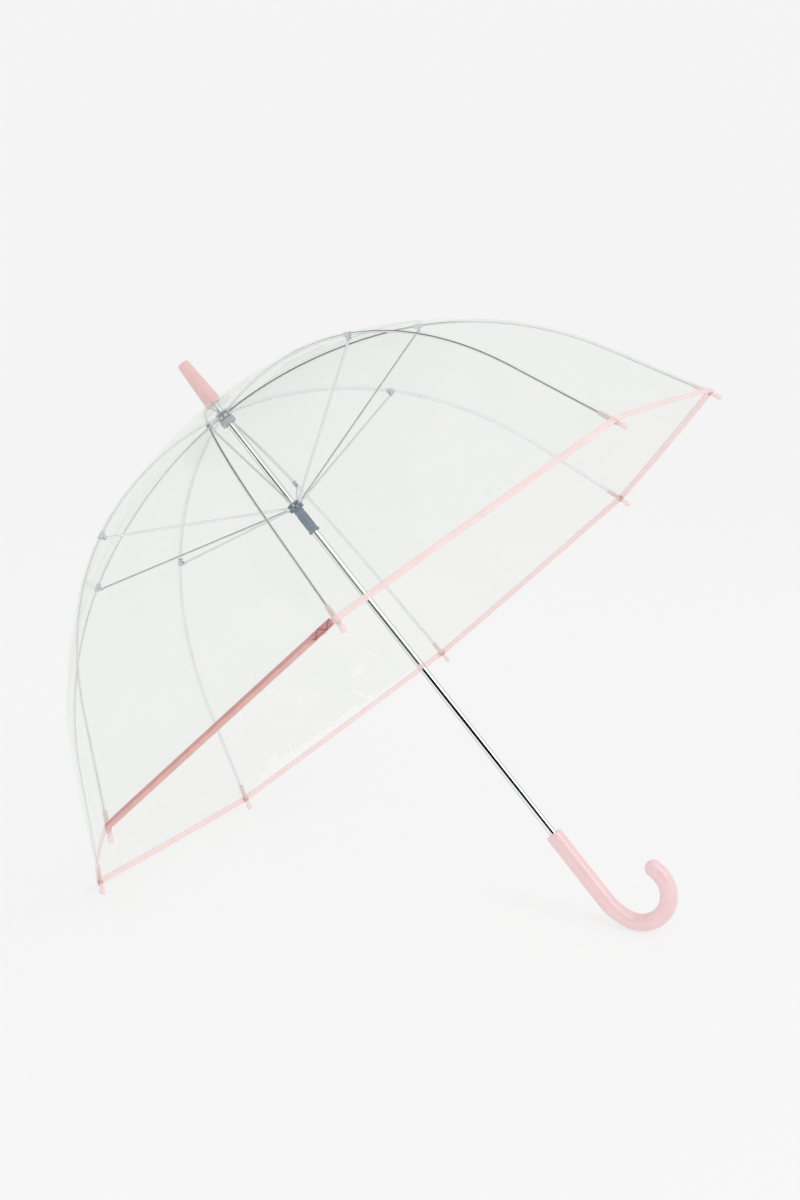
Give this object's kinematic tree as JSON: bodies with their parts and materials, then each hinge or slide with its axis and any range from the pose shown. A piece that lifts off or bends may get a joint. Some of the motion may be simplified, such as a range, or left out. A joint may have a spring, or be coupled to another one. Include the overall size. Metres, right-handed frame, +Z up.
{
  "type": "folding umbrella",
  "caption": "Clear dome stick umbrella with a pink edge, plastic rib tips and crook handle, shown open and lying on two rib tips and its handle.",
  "frame": {"origin": "middle of the bounding box, on the floor that two rib tips and the crook handle rest on", "axes": "+Z up; +X towards the handle, with the stick in the X-Z plane, sloping down from the ferrule at -X to the crook at +X; +Y across the open canopy"},
  "size_m": [0.6776, 0.808, 0.6373],
  "materials": {
    "shaft": "polished chrome plate on steel tube",
    "ferrule": "satin pink plastic",
    "crown_washer": "milky translucent plastic",
    "runner": "moulded slate grey plastic",
    "stop_collar": "moulded grey plastic",
    "rib_wire": "plated steel wire",
    "stretcher": "plated steel wire",
    "rib_clip": "moulded grey plastic",
    "pin": "bright steel wire",
    "rib_tip": "translucent pink moulded plastic",
    "edge_trim": "soft pink vinyl binding",
    "tie_band": "soft pink vinyl, doubled",
    "canopy": "clear vinyl film",
    "handle": "glossy light pink plastic"
  },
  "bodies": {
    "stick": {"shaft": "shaft", "ferrule": "ferrule", "crown_washer": "crown_washer", "top_notch": "stop_collar", "notch_ring": "pin", "stop_collar": "stop_collar", "handle": "handle", "canopy": "canopy", "edge_trim": "edge_trim", "tie_band": "tie_band"},
    "runner": {"runner": "runner", "runner_ring": "pin"},
    "top_catch": {"top_catch": "pin"},
    "bottom_catch": {"bottom_catch": "pin"},
    "rib_1": {"rib_1": "rib_wire", "rib_clip_1": "rib_clip", "clip_pin_1": "pin", "rib_tip_1": "rib_tip"},
    "stretcher_1": {"stretcher_1": "stretcher"},
    "rib_2": {"rib_2": "rib_wire", "rib_clip_2": "rib_clip", "clip_pin_2": "pin", "rib_tip_2": "rib_tip"},
    "stretcher_2": {"stretcher_2": "stretcher"},
    "rib_3": {"rib_3": "rib_wire", "rib_clip_3": "rib_clip", "clip_pin_3": "pin", "rib_tip_3": "rib_tip"},
    "stretcher_3": {"stretcher_3": "stretcher"},
    "rib_4": {"rib_4": "rib_wire", "rib_clip_4": "rib_clip", "clip_pin_4": "pin", "rib_tip_4": "rib_tip"},
    "stretcher_4": {"stretcher_4": "stretcher"},
    "rib_5": {"rib_5": "rib_wire", "rib_clip_5": "rib_clip", "clip_pin_5": "pin", "rib_tip_5": "rib_tip"},
    "stretcher_5": {"stretcher_5": "stretcher"},
    "rib_6": {"rib_6": "rib_wire", "rib_clip_6": "rib_clip", "clip_pin_6": "pin", "rib_tip_6": "rib_tip"},
    "stretcher_6": {"stretcher_6": "stretcher"},
    "rib_7": {"rib_7": "rib_wire", "rib_clip_7": "rib_clip", "clip_pin_7": "pin", "rib_tip_7": "rib_tip", "tie_snap": "edge_trim"},
    "stretcher_7": {"stretcher_7": "stretcher"},
    "rib_8": {"rib_8": "rib_wire", "rib_clip_8": "rib_clip", "clip_pin_8": "pin", "rib_tip_8": "rib_tip"},
    "stretcher_8": {"stretcher_8": "stretcher"}
  },
  "joints": [
    {"name": "runner_slide", "type": "slide", "parent": "stick", "child": "runner", "axis": [0.6877, 0, -0.726], "range_m": [0, 0.28431], "deforming": ["canopy", "edge_trim", "tie_band"]},
    {"name": "rib_hinge_1", "type": "hinge", "parent": "stick", "child": "rib_1", "pos_m": [-0.20206, 0.00268, 0.52504], "axis": [-0.2778, 0.9239, -0.2632], "range_deg": [0, 48]},
    {"name": "stretcher_hinge_1", "type": "hinge", "parent": "rib_1", "child": "stretcher_1", "pos_m": [-0.00809, 0.08754, 0.61817], "axis": [-0.2778, 0.9239, -0.2632], "range_deg": [-96, 0]},
    {"name": "rib_hinge_2", "type": "hinge", "parent": "stick", "child": "rib_2", "pos_m": [-0.20481, 0.00647, 0.52243], "axis": [-0.6707, 0.3827, -0.6354], "range_deg": [0, 48]},
    {"name": "stretcher_hinge_2", "type": "hinge", "parent": "rib_2", "child": "stretcher_2", "pos_m": [-0.09797, 0.21134, 0.53304], "axis": [-0.6707, 0.3827, -0.6354], "range_deg": [-96, 0]},
    {"name": "rib_hinge_3", "type": "hinge", "parent": "stick", "child": "rib_3", "pos_m": [-0.2087, 0.00647, 0.51875], "axis": [-0.6707, -0.3827, -0.6354], "range_deg": [0, 48]},
    {"name": "stretcher_hinge_3", "type": "hinge", "parent": "rib_3", "child": "stretcher_3", "pos_m": [-0.22507, 0.21134, 0.41263], "axis": [-0.6707, -0.3827, -0.6354], "range_deg": [-96, 0]},
    {"name": "rib_hinge_4", "type": "hinge", "parent": "stick", "child": "rib_4", "pos_m": [-0.21145, 0.00268, 0.51614], "axis": [-0.2778, -0.9239, -0.2632], "range_deg": [0, 48]},
    {"name": "stretcher_hinge_4", "type": "hinge", "parent": "rib_4", "child": "stretcher_4", "pos_m": [-0.31495, 0.08754, 0.32749], "axis": [-0.2778, -0.9239, -0.2632], "range_deg": [-96, 0]},
    {"name": "rib_hinge_5", "type": "hinge", "parent": "stick", "child": "rib_5", "pos_m": [-0.21145, -0.00268, 0.51614], "axis": [0.2778, -0.9239, 0.2632], "range_deg": [0, 48]},
    {"name": "stretcher_hinge_5", "type": "hinge", "parent": "rib_5", "child": "stretcher_5", "pos_m": [-0.31495, -0.08754, 0.32749], "axis": [0.2778, -0.9239, 0.2632], "range_deg": [-96, 0]},
    {"name": "rib_hinge_6", "type": "hinge", "parent": "stick", "child": "rib_6", "pos_m": [-0.2087, -0.00647, 0.51875], "axis": [0.6707, -0.3827, 0.6354], "range_deg": [0, 48]},
    {"name": "stretcher_hinge_6", "type": "hinge", "parent": "rib_6", "child": "stretcher_6", "pos_m": [-0.22507, -0.21134, 0.41263], "axis": [0.6707, -0.3827, 0.6354], "range_deg": [-96, 0]},
    {"name": "rib_hinge_7", "type": "hinge", "parent": "stick", "child": "rib_7", "pos_m": [-0.20481, -0.00647, 0.52243], "axis": [0.6707, 0.3827, 0.6354], "range_deg": [0, 48]},
    {"name": "stretcher_hinge_7", "type": "hinge", "parent": "rib_7", "child": "stretcher_7", "pos_m": [-0.09797, -0.21134, 0.53304], "axis": [0.6707, 0.3827, 0.6354], "range_deg": [-96, 0]},
    {"name": "rib_hinge_8", "type": "hinge", "parent": "stick", "child": "rib_8", "pos_m": [-0.20206, -0.00268, 0.52504], "axis": [0.2778, 0.9239, 0.2632], "range_deg": [0, 48]},
    {"name": "stretcher_hinge_8", "type": "hinge", "parent": "rib_8", "child": "stretcher_8", "pos_m": [-0.00809, -0.08754, 0.61817], "axis": [0.2778, 0.9239, 0.2632], "range_deg": [-96, 0]},
    {"name": "top_catch_press", "type": "slide", "parent": "stick", "child": "top_catch", "axis": [0.726, 0, 0.6877], "range_m": [0, 0.0024], "stiffness_N_per_m": 600},
    {"name": "bottom_catch_press", "type": "slide", "parent": "stick", "child": "bottom_catch", "axis": [0.726, 0, 0.6877], "range_m": [0, 0.0024], "stiffness_N_per_m": 600}
  ],
  "couplings": [
    {"joint": "rib_hinge_1", "follows": "runner_slide", "rad_per_m": 2.916},
    {"joint": "stretcher_hinge_1", "follows": "runner_slide", "rad_per_m": -5.832},
    {"joint": "rib_hinge_2", "follows": "runner_slide", "rad_per_m": 2.916},
    {"joint": "stretcher_hinge_2", "follows": "runner_slide", "rad_per_m": -5.832},
    {"joint": "rib_hinge_3", "follows": "runner_slide", "rad_per_m": 2.916},
    {"joint": "stretcher_hinge_3", "follows": "runner_slide", "rad_per_m": -5.832},
    {"joint": "rib_hinge_4", "follows": "runner_slide", "rad_per_m": 2.916},
    {"joint": "stretcher_hinge_4", "follows": "runner_slide", "rad_per_m": -5.832},
    {"joint": "rib_hinge_5", "follows": "runner_slide", "rad_per_m": 2.916},
    {"joint": "stretcher_hinge_5", "follows": "runner_slide", "rad_per_m": -5.832},
    {"joint": "rib_hinge_6", "follows": "runner_slide", "rad_per_m": 2.916},
    {"joint": "stretcher_hinge_6", "follows": "runner_slide", "rad_per_m": -5.832},
    {"joint": "rib_hinge_7", "follows": "runner_slide", "rad_per_m": 2.916},
    {"joint": "stretcher_hinge_7", "follows": "runner_slide", "rad_per_m": -5.832},
    {"joint": "rib_hinge_8", "follows": "runner_slide", "rad_per_m": 2.916},
    {"joint": "stretcher_hinge_8", "follows": "runner_slide", "rad_per_m": -5.832}
  ]
}
